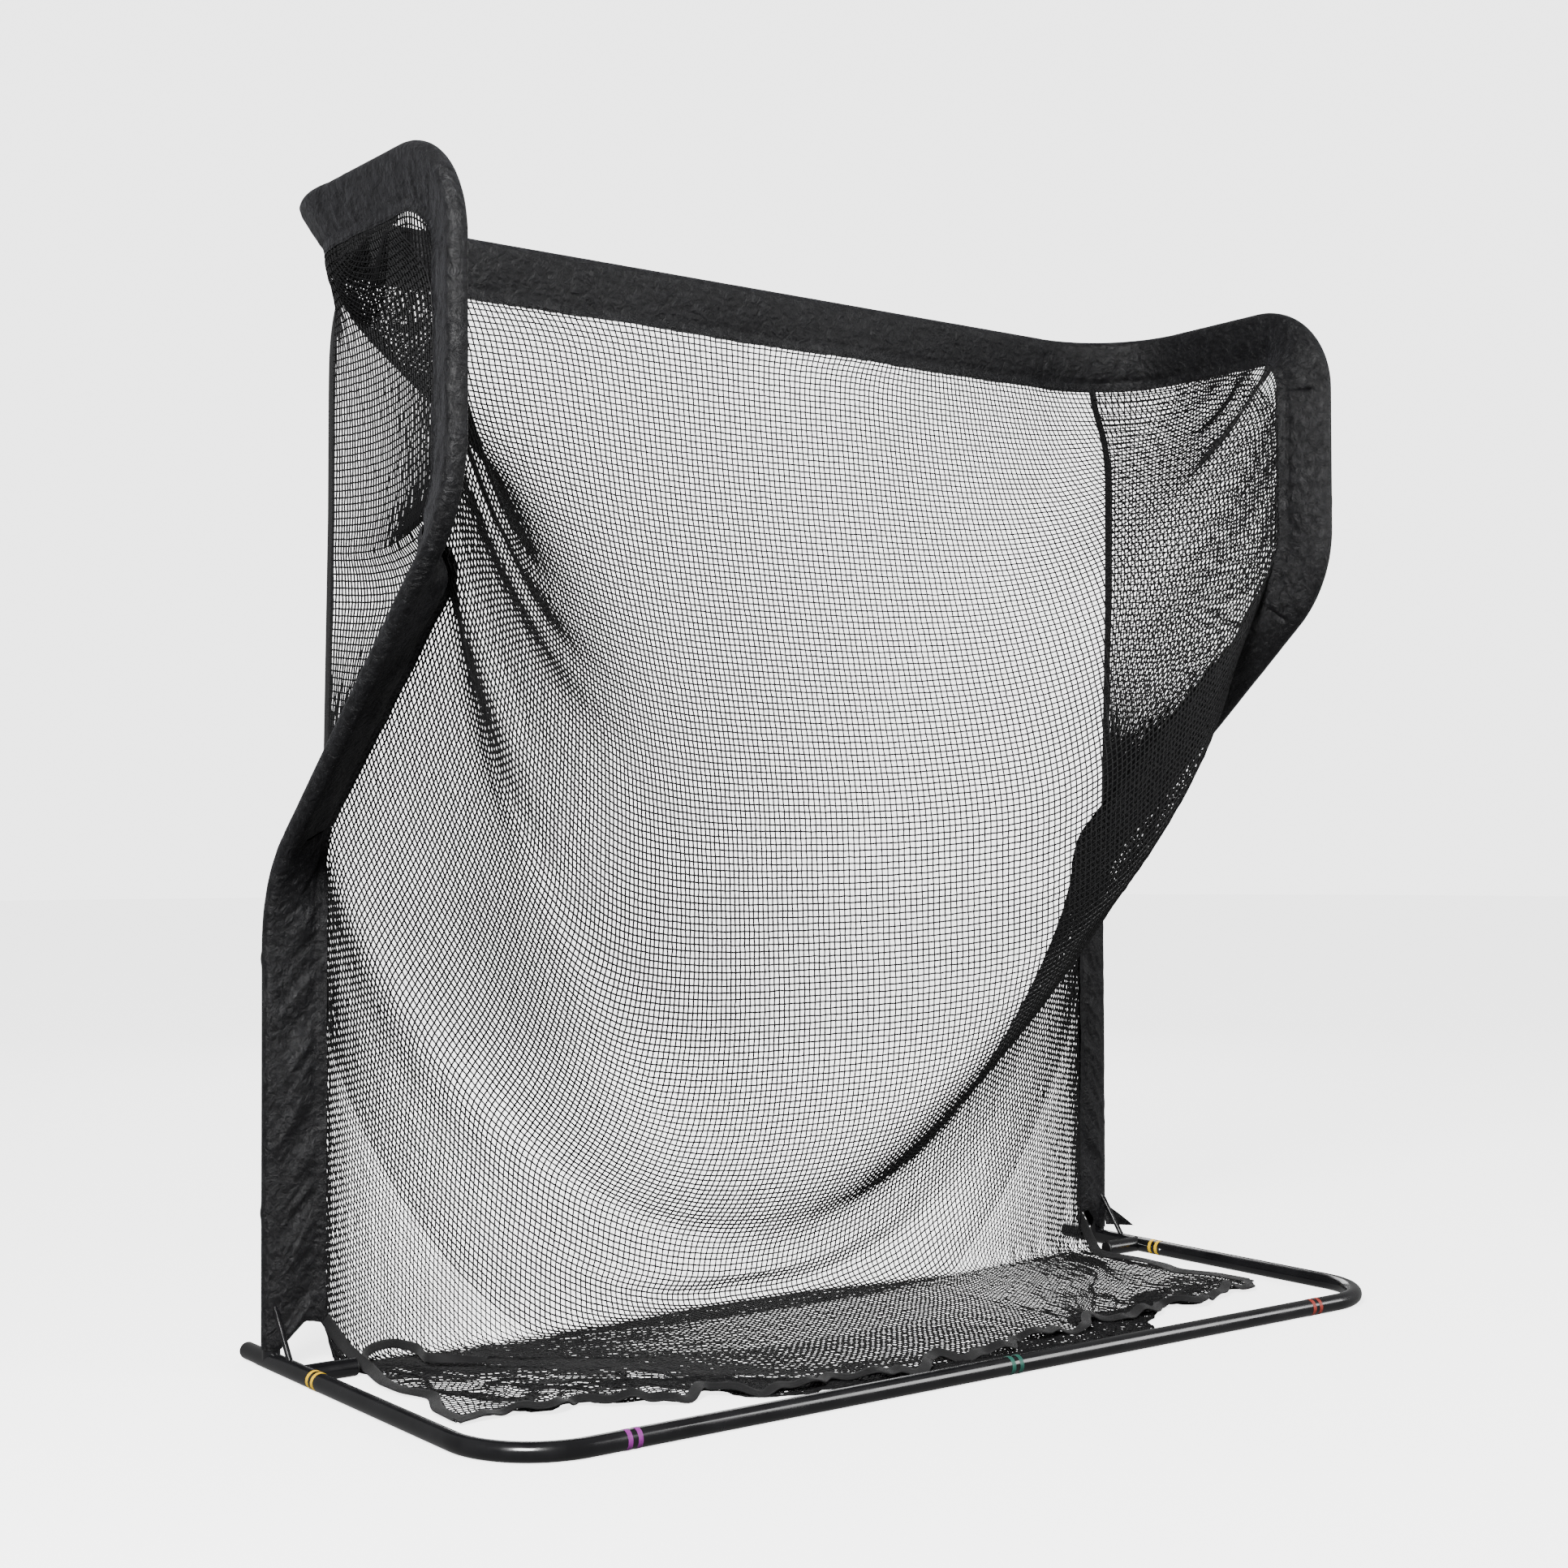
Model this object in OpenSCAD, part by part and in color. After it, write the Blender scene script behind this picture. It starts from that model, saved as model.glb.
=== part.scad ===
// Self-return ball net: a tubular frame that plugs together, with netting hung in fabric sleeves.
// The player stands at -Y. +X is the player's right, +Z is up, and the floor is z = 0.

/* [Base] */
// Centre-to-centre distance between the two side frames
frame_w = 2400; // [1500:10:3000]
// Centre line of the front rail, forward of the middle
front_rail_y = 534; // [300:1:900]
// Rear end of each side rail, behind the middle
rail_end_y = 553; // [300:1:900]
// Radius of the two front corners of the base
base_r = 180; // [80:5:400]
// Outer diameter of every frame tube
tube_d = 38; // [20:0.5:60]
// Wall thickness of the tubes
tube_wall = 1.6; // [1:0.1:4]

/* [Side frames] */
// Upright position behind the middle
upright_y = 433; // [200:1:600]
// Front tube position in front of the middle
front_y = 365; // [100:1:600]
// Height where the upright starts to lean forward
low_bend_z = 1015; // [500:5:1500]
// Height where the leaning tube turns vertical again
high_bend_z = 1729; // [1200:5:2100]
// Height of the top tubes, to their centre line
top_z = 2405; // [1500:5:3000]
// Crossbar position behind the middle
cross_y = 370; // [100:1:600]
// Bend radius at the top front corner
corner_r = 200; // [80:5:300]
// Bend radius at the top rear corner
rear_r = 250; // [80:5:300]
// Bend radius of the two offset bends
offset_r = 300; // [150:5:400]

/* [Joints] */
// Side rail joint, behind the middle
rail_joint_y = 210; // [0:1:400]
// Front rail corner joint, out from the middle
corner_joint_x = 935; // [500:1:1100]
// Top of the base stub
stub_z = 300; // [100:5:600]
// Joint between the upright and the offset tube
upright_joint_z = 830; // [400:5:860]
// Joint between the offset tube and the top corner
offset_joint_z = 1900; // [1880:5:2100]
// Joint in the top side tube, behind the middle
top_joint_y = 40; // [-100:5:100]
// Joint in the crossbar, out from the middle
rear_joint_x = 900; // [500:5:940]
// Length of each swaged tube end
spigot_len = 55; // [30:1:80]

/* [Fabric] */
// Depth of the sleeves from the tube centre to the net seam
sleeve_w = 112; // [60:1:160]
// Inner radius of the sleeves round the tube
sleeve_r = 22.2; // [20:0.1:30]
// Thickness of the netting sheets
net_t = 3; // [2:0.1:6]

/* [Hidden] */
$fn = 64;
half_w = frame_w / 2;
tube_r = tube_d / 2;
bore_r = tube_r - tube_wall;
spigot_r = bore_r - 0.3;
spigot_bore = spigot_r - 1.5;
button_r = 3.3;
button_at = 27;
lean = atan2(high_bend_z - low_bend_z, upright_y + front_y);
turn = 90 - lean;
tangent = offset_r * tan(turn / 2);
low_z = low_bend_z - tangent;
high_z = high_bend_z + tangent;
low_c = upright_y - offset_r;
high_c = offset_r - front_y;
low_end = [low_c + offset_r * cos(turn), low_z + offset_r * sin(turn)];
high_end = [high_c - offset_r * cos(turn), high_z - offset_r * sin(turn)];
lean_len = norm(high_end - low_end);
top_c = [corner_r - front_y, top_z - corner_r];
rear_c = [half_w - rear_r, cross_y - rear_r];
low_tilt = -20;
lean_tilt = 20;
high_tilt = 65;
foot_y = 280;
foot_x = 115;
neck_len = 70;
neck_r = tube_r - 0.8;
net_side = half_w - 110;

// ---- shared shapes ----

module pipe(len) {
  difference() {
    cylinder(r = tube_r, h = len);
    translate([0, 0, -1]) cylinder(r = bore_r, h = len + 2);
  }
}

module elbow(r, a) {
  rotate_extrude(angle = a) translate([r, 0]) difference() {
    circle(r = tube_r);
    circle(r = bore_r);
  }
}

// Necked male end that plugs into the next tube, starting at the joint and going up.
module spigot() {
  difference() {
    union() {
      cylinder(r = spigot_r, h = spigot_len);
      translate([0, 0, -4]) cylinder(r = tube_r, h = 4);
    }
    translate([0, 0, -5]) cylinder(r = spigot_bore, h = spigot_len + 6);
  }
}

// Slight bead where a bend runs into a straight length.
module bead() {
  translate([0, 0, -1.5]) difference() {
    cylinder(r = tube_r + 0.06, h = 3);
    translate([0, 0, -1]) cylinder(r = bore_r - 0.06, h = 5);
  }
}

// Hole for a snap button, out along +X at the button's place in a spigot.
module button_hole() {
  translate([0, 0, button_at]) rotate([0, 90, 0]) cylinder(r = button_r + 0.35, h = 30);
}

// Round-headed snap button with its seat flange, pointing along +X.
module snap_button() {
  translate([0, 0, button_at]) rotate([0, 90, 0]) {
    translate([0, 0, 13.3]) cylinder(r = 5, h = 1.2);
    translate([0, 0, 14.4]) cylinder(r = button_r, h = 6);
    translate([0, 0, 20.3]) cylinder(r1 = button_r, r2 = 1.9, h = 1.4);
  }
}

// Folded spring strip that sits in the spigot behind its button.
module clip() {
  translate([-15.1, -3, button_at - 14]) cube([0.8, 6, 52.4]);
  translate([-7.6, 3, button_at + 38]) rotate([90, 0, 0]) rotate_extrude(angle = 180)
    translate([6.7, 0]) square([0.8, 6]);
  translate([-0.9, -3, button_at + 12]) cube([0.8, 6, 26.4]);
}

// Places a shape made along +Z so it runs along +Y, -Y, +X or -X.
module to_back() { rotate([-90, 0, 0]) children(); }
module to_front() { rotate([90, 0, 0]) children(); }
module to_right() { rotate([0, 90, 0]) children(); }
module side_plane(y, z) { translate([-half_w, y, z]) rotate([90, 0, 90]) children(); }
module lean_frame() {
  translate([-half_w, low_end[0], low_end[1]]) rotate([turn, 0, 0]) children();
}

// The nine joints of the left half, each with the next tube along +Z and its button along +X.
module at_rail() { translate([-half_w, rail_joint_y, tube_r]) to_front() children(); }
module at_corner() {
  translate([-corner_joint_x, -front_rail_y, tube_r]) to_right() rotate([0, 0, 90]) children();
}
module at_front() { translate([0, -front_rail_y, tube_r]) to_right() rotate([0, 0, 90]) children(); }
module at_stub() { translate([-half_w, upright_y, stub_z]) rotate([0, 0, 180]) children(); }
module at_upright() { translate([-half_w, upright_y, upright_joint_z]) rotate([0, 0, 180]) children(); }
module at_offset() { translate([-half_w, -front_y, offset_joint_z]) rotate([0, 0, 180]) children(); }
module at_top() { translate([-half_w, top_joint_y, top_z]) to_back() rotate([0, 0, 180]) children(); }
module at_rear() { translate([-rear_joint_x, cross_y, top_z]) to_right() rotate([0, 0, 90]) children(); }
module at_cross() { translate([0, cross_y, top_z]) to_right() rotate([0, 0, 90]) children(); }

// ---- frame tubes of the left half ----

module tee_half() {
  difference() {
    union() {
      translate([-half_w, rail_joint_y, tube_r]) to_back() {
        cylinder(r = tube_r, h = rail_end_y - rail_joint_y - neck_len);
        cylinder(r = neck_r, h = rail_end_y - rail_joint_y);
      }
      translate([-half_w, upright_y, tube_r]) cylinder(r = tube_r, h = stub_z - tube_r);
      translate([-half_w, foot_y, tube_r]) to_right() cylinder(r = tube_r, h = foot_x);
      translate([-half_w, 338, 30]) rotate([-37, 0, 0]) cylinder(r = 6.5, h = 140);
      at_rail() cylinder(r = spigot_r, h = spigot_len);
      at_stub() cylinder(r = spigot_r, h = spigot_len);
    }
    translate([-half_w, rail_joint_y + 4, tube_r]) to_back() cylinder(r = bore_r, h = 400);
    translate([-half_w, upright_y, tube_r]) cylinder(r = bore_r, h = stub_z - tube_r - 4);
    translate([-half_w, foot_y, tube_r]) to_right() cylinder(r = bore_r, h = foot_x + 1);
    translate([-half_w, rail_joint_y - spigot_len - 1, tube_r]) to_back() cylinder(r = spigot_bore, h = 90);
    translate([-half_w, upright_y, stub_z - 30]) cylinder(r = spigot_bore, h = spigot_len + 40);
    at_rail() button_hole();
    at_stub() button_hole();
  }
}

module base_corner_half() {
  difference() {
    union() {
      translate([-half_w, base_r - front_rail_y, tube_r]) to_back()
        pipe(rail_joint_y - base_r + front_rail_y);
      translate([base_r - half_w, base_r - front_rail_y, tube_r]) rotate([0, 0, 180]) elbow(base_r, 90);
      translate([base_r - half_w, -front_rail_y, tube_r]) to_right()
        pipe(half_w - base_r - corner_joint_x);
      at_corner() spigot();
    }
    at_rail() button_hole();
    at_corner() button_hole();
  }
}

module front_rail_half() {
  translate([-corner_joint_x, -front_rail_y, tube_r]) to_right() difference() {
    pipe(corner_joint_x);
    rotate([0, 0, 90]) button_hole();
  }
}

module upright_half() {
  difference() {
    union() {
      translate([-half_w, upright_y, stub_z]) pipe(upright_joint_z - stub_z);
      at_upright() spigot();
    }
    at_stub() button_hole();
    at_upright() button_hole();
  }
}

module offset_half() {
  difference() {
    union() {
      translate([-half_w, upright_y, upright_joint_z]) pipe(low_z - upright_joint_z);
      translate([-half_w, upright_y, low_z]) bead();
      side_plane(low_c, low_z) elbow(offset_r, turn);
      lean_frame() {
        bead();
        pipe(lean_len);
        translate([0, 0, lean_len]) bead();
      }
      side_plane(high_c, high_z) rotate([0, 0, 180]) elbow(offset_r, turn);
      translate([-half_w, -front_y, high_z]) bead();
      translate([-half_w, -front_y, high_z]) pipe(offset_joint_z - high_z);
      at_offset() spigot();
    }
    at_upright() button_hole();
    at_offset() button_hole();
  }
}

module top_corner_half() {
  difference() {
    union() {
      translate([-half_w, -front_y, offset_joint_z]) pipe(top_c[1] - offset_joint_z);
      side_plane(top_c[0], top_c[1]) rotate([0, 0, 90]) elbow(corner_r, 90);
      translate([-half_w, top_c[0], top_z]) to_back() pipe(top_joint_y - top_c[0]);
      at_top() spigot();
    }
    at_offset() button_hole();
    at_top() button_hole();
  }
}

module rear_corner_half() {
  difference() {
    union() {
      translate([-half_w, top_joint_y, top_z]) to_back() pipe(rear_c[1] - top_joint_y);
      translate([-rear_c[0], rear_c[1], top_z]) rotate([0, 0, 90]) elbow(rear_r, 90);
      translate([-rear_c[0], cross_y, top_z]) to_right() pipe(rear_c[0] - rear_joint_x);
      at_rear() spigot();
    }
    at_top() button_hole();
    at_rear() button_hole();
  }
}

module crossbar_half() {
  translate([-rear_joint_x, cross_y, top_z]) to_right() difference() {
    pipe(rear_joint_x);
    rotate([0, 0, 90]) button_hole();
  }
}

// ---- frame nodes ----

module base_tee_left() { color("#101012") tee_half(); }
module base_tee_right() { color("#101012") mirror([1, 0, 0]) tee_half(); }
module base_corner_left() { color("#101012") base_corner_half(); }
module base_corner_right() { color("#101012") mirror([1, 0, 0]) base_corner_half(); }
module front_rail_left() {
  color("#101012") difference() {
    union() {
      front_rail_half();
      at_front() spigot();
    }
    at_front() button_hole();
  }
}
module front_rail_right() {
  color("#101012") difference() {
    mirror([1, 0, 0]) front_rail_half();
    at_front() button_hole();
  }
}
module upright_left() { color("#101012") upright_half(); }
module upright_right() { color("#101012") mirror([1, 0, 0]) upright_half(); }
module offset_tube_left() { color("#101012") offset_half(); }
module offset_tube_right() { color("#101012") mirror([1, 0, 0]) offset_half(); }
module top_corner_left() { color("#101012") top_corner_half(); }
module top_corner_right() { color("#101012") mirror([1, 0, 0]) top_corner_half(); }
module rear_corner_left() { color("#101012") rear_corner_half(); }
module rear_corner_right() { color("#101012") mirror([1, 0, 0]) rear_corner_half(); }
module crossbar_left() {
  color("#101012") difference() {
    union() {
      crossbar_half();
      at_cross() spigot();
    }
    at_cross() button_hole();
  }
}
module crossbar_right() {
  color("#101012") difference() {
    mirror([1, 0, 0]) crossbar_half();
    at_cross() button_hole();
  }
}

// ---- snap buttons, their springs, end caps and colour rings ----

module button_rail_left() { color("#c9ccd0") at_rail() snap_button(); }
module button_rail_right() { color("#c9ccd0") mirror([1, 0, 0]) at_rail() snap_button(); }
module button_corner_left() { color("#c9ccd0") at_corner() snap_button(); }
module button_corner_right() { color("#c9ccd0") mirror([1, 0, 0]) at_corner() snap_button(); }
module button_front_centre() { color("#c9ccd0") at_front() snap_button(); }
module button_stub_left() { color("#c9ccd0") at_stub() snap_button(); }
module button_stub_right() { color("#c9ccd0") mirror([1, 0, 0]) at_stub() snap_button(); }
module button_upright_left() { color("#c9ccd0") at_upright() snap_button(); }
module button_upright_right() { color("#c9ccd0") mirror([1, 0, 0]) at_upright() snap_button(); }
module button_offset_left() { color("#c9ccd0") at_offset() snap_button(); }
module button_offset_right() { color("#c9ccd0") mirror([1, 0, 0]) at_offset() snap_button(); }
module button_top_left() { color("#c9ccd0") at_top() snap_button(); }
module button_top_right() { color("#c9ccd0") mirror([1, 0, 0]) at_top() snap_button(); }
module button_rear_left() { color("#c9ccd0") at_rear() snap_button(); }
module button_rear_right() { color("#c9ccd0") mirror([1, 0, 0]) at_rear() snap_button(); }
module button_crossbar_centre() { color("#c9ccd0") at_cross() snap_button(); }

module clips_half() {
  at_rail() clip();
  at_corner() clip();
  at_stub() clip();
  at_upright() clip();
  at_offset() clip();
  at_top() clip();
  at_rear() clip();
}

module spring_clips() {
  color("#8f9296") {
    clips_half();
    mirror([1, 0, 0]) clips_half();
    at_front() clip();
    at_cross() clip();
  }
}

// Push-in plug: a domed head on the tube's end and a stem inside it.
module end_cap(r) {
  translate([0, 0, 0.2]) cylinder(r = r - 0.5, h = 2);
  translate([0, 0, 2.2]) cylinder(r1 = r - 0.5, r2 = r - 2.4, h = 2);
  translate([0, 0, -16]) cylinder(r = bore_r - 0.3, h = 16.3);
}

module caps_half() {
  translate([-half_w, rail_end_y, tube_r]) to_back() end_cap(neck_r);
  translate([foot_x - half_w, foot_y, tube_r]) to_right() end_cap(tube_r);
}

module end_caps() {
  color("#0c0c0d") {
    caps_half();
    mirror([1, 0, 0]) caps_half();
  }
}

// Two thin rings, one on each tube, either side of a joint that lies along +Z.
module ring_pair() {
  for (z = [-16, 6]) translate([0, 0, z]) difference() {
    cylinder(r = tube_r + 0.45, h = 10);
    translate([0, 0, -1]) cylinder(r = tube_r + 0.05, h = 12);
  }
}

// The rings are worn through where the rail rests on the ground.
module clear_of_ground() {
  difference() {
    children();
    translate([-1300, -600, -4]) cube([2600, 1000, 4.1]);
  }
}

module rings_yellow() {
  color("#f0c40e") clear_of_ground() {
    at_rail() ring_pair();
    mirror([1, 0, 0]) at_rail() ring_pair();
  }
}
module rings_purple() { color("#93349a") clear_of_ground() at_corner() ring_pair(); }
module rings_green() { color("#2a5f52") clear_of_ground() at_front() ring_pair(); }
module rings_red() {
  color("#a3453d") clear_of_ground() mirror([1, 0, 0]) at_corner() ring_pair();
}

// ---- fabric sleeves ----

// Hollow teardrop round a tube, its seam edge pointing along +X.
module tongue_outside() {
  polygon([[3, sleeve_r + 0.6], [sleeve_w, 1.2], [sleeve_w, -1.2], [3, -sleeve_r - 0.6]]);
}

module tongue_inside() {
  polygon([[3, sleeve_r - 0.6], [sleeve_w - 9, 0.3], [sleeve_w - 9, -0.3], [3, 0.6 - sleeve_r]]);
}

module sleeve_straight(len, tilt) {
  rotate(tilt) difference() {
    union() {
      cylinder(r = sleeve_r + 1, h = len);
      linear_extrude(height = len) tongue_outside();
    }
    translate([0, 0, -1]) cylinder(r = sleeve_r, h = len + 2);
    translate([0, 0, -1]) linear_extrude(height = len + 2) tongue_inside();
  }
}

module sleeve_elbow(r, a, tilt) {
  rotate_extrude(angle = a) translate([r, 0]) rotate(tilt) difference() {
    union() {
      circle(r = sleeve_r + 1);
      tongue_outside();
    }
    circle(r = sleeve_r);
    tongue_inside();
  }
}

module sleeve_top_half() {
  translate([-rear_c[0], rear_c[1], top_z]) rotate([0, 0, 90]) sleeve_elbow(rear_r, 90, -90);
  translate([-half_w, top_c[0], top_z]) to_back() sleeve_straight(rear_c[1] - top_c[0], 90);
  side_plane(top_c[0], top_c[1]) rotate([0, 0, 90]) sleeve_elbow(corner_r, 90, 180);
}

module sleeve_front_half() {
  translate([-half_w, -front_y, high_z]) sleeve_straight(top_c[1] - high_z - 1, high_tilt);
  side_plane(high_c, high_z) rotate([0, 0, 180]) sleeve_elbow(offset_r, turn, 90 + high_tilt);
}

module sleeve_lean_half() {
  lean_frame() translate([0, 0, 2]) sleeve_straight(lean_len - 42, lean_tilt);
}

// The lower sleeve is cut away in a slope at its foot so the base tee can pass.
module sleeve_lower_half() {
  difference() {
    union() {
      side_plane(low_c, low_z) sleeve_elbow(offset_r, turn, 90 - low_tilt);
      translate([-half_w, upright_y, 44]) sleeve_straight(low_z - 44, low_tilt);
    }
    translate([-half_w, 0, 0]) rotate([90, 0, 0]) translate([0, 0, -600])
      linear_extrude(height = 600) polygon([[-8, 0], [30, 60], [70, 118], [130, 128], [130, 0]]);
    translate([-half_w, 338, 30]) rotate([-37, 0, 0]) cylinder(r = 8, h = 145);
  }
}

module sleeve_crossbar() {
  color("#17171a") translate([1 - rear_c[0], cross_y, top_z]) to_right()
    sleeve_straight(2 * rear_c[0] - 2, 0);
}
module sleeve_top_left() { color("#17171a") sleeve_top_half(); }
module sleeve_top_right() { color("#17171a") mirror([1, 0, 0]) sleeve_top_half(); }
module sleeve_front_left() { color("#232327") sleeve_front_half(); }
module sleeve_front_right() { color("#17171a") mirror([1, 0, 0]) sleeve_front_half(); }
module sleeve_lean_left() { color("#232327") sleeve_lean_half(); }
module sleeve_lean_right() { color("#17171a") mirror([1, 0, 0]) sleeve_lean_half(); }
module sleeve_lower_left() { color("#1d1d20") sleeve_lower_half(); }
module sleeve_lower_right() { color("#17171a") mirror([1, 0, 0]) sleeve_lower_half(); }

// ---- netting, as thin closed sheets ----

function lerp(a, b, t) = a + (b - a) * max(0, min(1, t));
function lean_y(z) = (low_bend_z - z) * (upright_y + front_y) / (high_bend_z - low_bend_z) + upright_y;
function drop(z) = sqrt(max(0, pow(196, 2) - pow(high_z - z, 2)));

// Side edges of the ball net, just inside the seam edge of the sleeves.
function edge_y(z) =
  z > high_z ? -front_y + 103 :
  z > 1715 ? high_c - drop(z) :
  z > 1560 ? lerp(lean_y(z) + 62, high_c - drop(1715), (z - 1560) / 155) :
  z > 1180 ? lerp(lean_y(z) + 40, lean_y(z) + 62, (z - 1180) / 380) :
  z > 860 ? lerp(upright_y - 40, lean_y(1180) + 40, pow((z - 860) / 320, 1.5)) :
  upright_y - 40;
function edge_x(z) =
  z > 2100 ? lerp(half_w - 51, half_w - 20, (z - 2100) / 185) :
  z > 1720 ? lerp(net_side, half_w - 51, (z - 1720) / 145) :
  net_side;
function fullness(z) = 2 + 10 * pow(max(0, z - 1730) / 555, 2);
function ball_y(t, z) = edge_y(z) + (cross_y + 5 - edge_y(z)) * (1 - pow(abs(t), fullness(z)));

// Closed sheet from a grid of points and the same grid shifted by its thickness.
module sheet(pts, cols, shift) {
  n = len(pts);
  rows = n / cols;
  faces = concat(
    [for (r = [0 : rows - 2], c = [0 : cols - 2]) each [
      [r * cols + c, r * cols + c + 1, (r + 1) * cols + c + 1],
      [r * cols + c, (r + 1) * cols + c + 1, (r + 1) * cols + c],
      [n + r * cols + c, n + (r + 1) * cols + c + 1, n + r * cols + c + 1],
      [n + r * cols + c, n + (r + 1) * cols + c, n + (r + 1) * cols + c + 1]]],
    [for (c = [0 : cols - 2]) each [
      [c, n + c + 1, c + 1],
      [c, n + c, n + c + 1],
      [n - cols + c, n - cols + c + 1, 2 * n - cols + c + 1],
      [n - cols + c, 2 * n - cols + c + 1, 2 * n - cols + c]]],
    [for (r = [0 : rows - 2]) each [
      [r * cols, (r + 1) * cols, n + (r + 1) * cols],
      [r * cols, n + (r + 1) * cols, n + r * cols],
      [(r + 1) * cols - 1, n + (r + 2) * cols - 1, (r + 2) * cols - 1],
      [(r + 1) * cols - 1, n + (r + 1) * cols - 1, n + (r + 2) * cols - 1]]]);
  polyhedron(points = concat(pts, [for (p = pts) p + shift]), faces = faces);
}

module ball_net(z0, z1, rows) {
  cols = 41;
  pts = [for (r = [0 : rows], c = [0 : cols - 1])
    let (z = z0 + (z1 - z0) * r / rows, t = 2 * c / (cols - 1) - 1, u = sign(t) * (1 - pow(1 - abs(t), 1.3)))
    [u * edge_x(z), ball_y(u, z), z]];
  sheet(pts, cols, [0, net_t, 0]);
}

module net_upper() { color("#1c1c1e") ball_net(1012, 2284, 24); }
module net_lower() { color("#1c1c1e") ball_net(34, 1006, 10); }

// Floor part of the ball net, lying in low ripples behind the front rail.
module net_apron() {
  cols = 29;
  rows = 12;
  pts = [for (r = [0 : rows], c = [0 : cols - 1])
    let (x = 1055 * (2 * c / (cols - 1) - 1), y = lerp(-300, 360, r / rows))
    [x, y, 5 + 3 * (1 + sin(x * 1.7 + y * 0.5)) + 14 * pow(r / rows, 6)]];
  color("#161618") sheet(pts, cols, [0, 0, net_t]);
}

// Wing net between the front tube's sleeve and the rear cord.
function wing_top_x(y) = y < rear_c[1] ? half_w - 10 :
  rear_c[0] - 10 + sqrt(pow(rear_r, 2) - pow(y - rear_c[1], 2));
function wing_min_y(z) =
  z > high_z ? -front_y + 113 :
  z > 1695 ? high_c - drop(z) + 10 :
  max(lean_y(z) + 58, 0.898 * (z - 1695) - 183);

module wing_net() {
  cols = 11;
  rows = 26;
  pts = [for (r = [0 : rows], c = [0 : cols - 1])
    let (z = lerp(1200, 2284, r / rows), y = lerp(wing_min_y(z), 291, c / (cols - 1)),
      low_x = lerp(half_w - 40, half_w - 73, (y + 252) / 543),
      g = pow(max(0, (z - 2090) / 194), 2))
    [-lerp(low_x, wing_top_x(y), g), y, z]];
  sheet(pts, cols, [net_t - 0.5, 0, 0]);
}

module wing_net_left() { color("#1c1c1e") wing_net(); }
module wing_net_right() { color("#1c1c1e") mirror([1, 0, 0]) wing_net(); }

// ---- cords, hem tapes and strap ----

module wing_cord_half() {
  translate([-half_w + 73, 298, 1196]) rotate([-0.2, 0, 0]) cylinder(r = 3.5, h = 1093);
}

module wing_cord_left() { color("#0d0d0e") wing_cord_half(); }
module wing_cord_right() { color("#0d0d0e") mirror([1, 0, 0]) wing_cord_half(); }

// Webbing along the free front edge of the floor part.
module hem_tape() {
  color("#0f0f10") translate([-1055, -326, 2]) cube([2110, 22, 3.2]);
}

// Webbing from the foot of each sleeve down to the floor and forward to the hem.
module side_tape_half() {
  translate([-1062, 0, 0]) rotate([90, 0, -90]) linear_extrude(height = 3)
    polygon([[304, 2], [-250, 2], [-392, 118], [-392, 142], [-258, 26], [-250, 22], [304, 22]]);
}

module side_tape_left() { color("#0f0f10") side_tape_half(); }
module side_tape_right() { color("#0f0f10") mirror([1, 0, 0]) side_tape_half(); }

// Loose webbing tie left lying on the floor part.
module tie_strap() {
  color("#0f0f10") translate([-1030, 215, 32]) rotate([0, 0, -14]) cube([300, 25, 2]);
}

base_tee_left();
base_tee_right();
base_corner_left();
base_corner_right();
front_rail_left();
front_rail_right();
upright_left();
upright_right();
offset_tube_left();
offset_tube_right();
top_corner_left();
top_corner_right();
rear_corner_left();
rear_corner_right();
crossbar_left();
crossbar_right();
button_rail_left();
button_rail_right();
button_corner_left();
button_corner_right();
button_front_centre();
button_stub_left();
button_stub_right();
button_upright_left();
button_upright_right();
button_offset_left();
button_offset_right();
button_top_left();
button_top_right();
button_rear_left();
button_rear_right();
button_crossbar_centre();
spring_clips();
end_caps();
rings_yellow();
rings_purple();
rings_green();
rings_red();
sleeve_crossbar();
sleeve_top_left();
sleeve_top_right();
sleeve_front_left();
sleeve_front_right();
sleeve_lean_left();
sleeve_lean_right();
sleeve_lower_left();
sleeve_lower_right();
net_upper();
net_lower();
net_apron();
wing_net_left();
wing_net_right();
wing_cord_left();
wing_cord_right();
hem_tape();
side_tape_left();
side_tape_right();
tie_strap();
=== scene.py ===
import math

import bpy
import numpy as np
from mathutils import Matrix, Vector


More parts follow.
